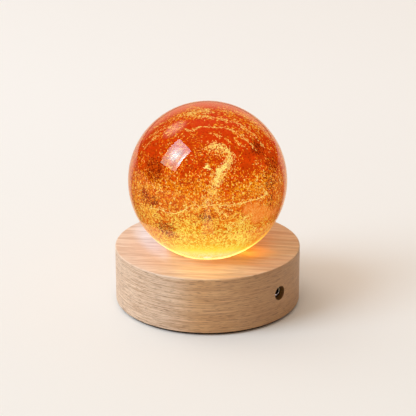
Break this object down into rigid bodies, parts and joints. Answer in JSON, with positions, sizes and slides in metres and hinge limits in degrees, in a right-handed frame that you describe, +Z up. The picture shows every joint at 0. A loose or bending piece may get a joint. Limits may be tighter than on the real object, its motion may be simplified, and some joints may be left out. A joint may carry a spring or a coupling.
{
  "type": "glass globe table lamp",
  "caption": "Glowing orange-red glass globe, clear-cased, resting in the dished top of a round wooden base with a side power socket and lit from below through a frosted window.",
  "frame": {"origin": "centre of the foot pad's underside, at table level, under the middle of the round base", "axes": "+Z up, along the axis of the base and the globe; +X out of the power socket; +Y completes the right-handed frame"},
  "size_m": [0.094, 0.094, 0.1042],
  "materials": {
    "clear_glass": "polished, clear",
    "ember_glass": "orange-red, cased under clear glass",
    "turned_wood": "sanded beech, clear satin lacquer",
    "frosted_lens": "frosted, translucent",
    "board_white": "white solder mask",
    "led_case": "moulded, ivory",
    "led_phosphor": "cast, yellow",
    "resistor_black": "glazed black",
    "screw_steel": "zinc plated",
    "board_green": "green solder mask",
    "jack_black": "moulded, black",
    "nickel_plate": "nickel plated",
    "pin_brass": "bright",
    "spring_bronze": "rolled phosphor bronze",
    "lead_red": "soft insulation",
    "lead_black": "soft insulation",
    "solder": "bright solder",
    "plate_black": "fine texture",
    "foot_foam": "foamed, matt"
  },
  "bodies": {
    "base": {"wooden_base": "turned_wood", "diffuser_lens": "frosted_lens", "led_board": "board_white", "led_packages": "led_case", "led_phosphors": "led_phosphor", "led_resistors": "resistor_black", "led_board_screws": "screw_steel", "jack_board": "board_green", "jack_housing": "jack_black", "jack_sleeve": "nickel_plate", "jack_pin": "pin_brass", "jack_spring": "spring_bronze", "jack_board_screws": "screw_steel", "lead_red": "lead_red", "lead_black": "lead_black", "solder_joints": "solder", "base_plate": "plate_black", "plate_screws": "screw_steel", "foot_pad": "foot_foam"},
    "globe": {"glass_casing": "clear_glass", "ember_core": "ember_glass"}
  },
  "joints": [
    {"name": "globe_lift", "type": "slide", "parent": "base", "child": "globe", "axis": [0, 0, 1], "range_m": [0, 0.06]}
  ]
}
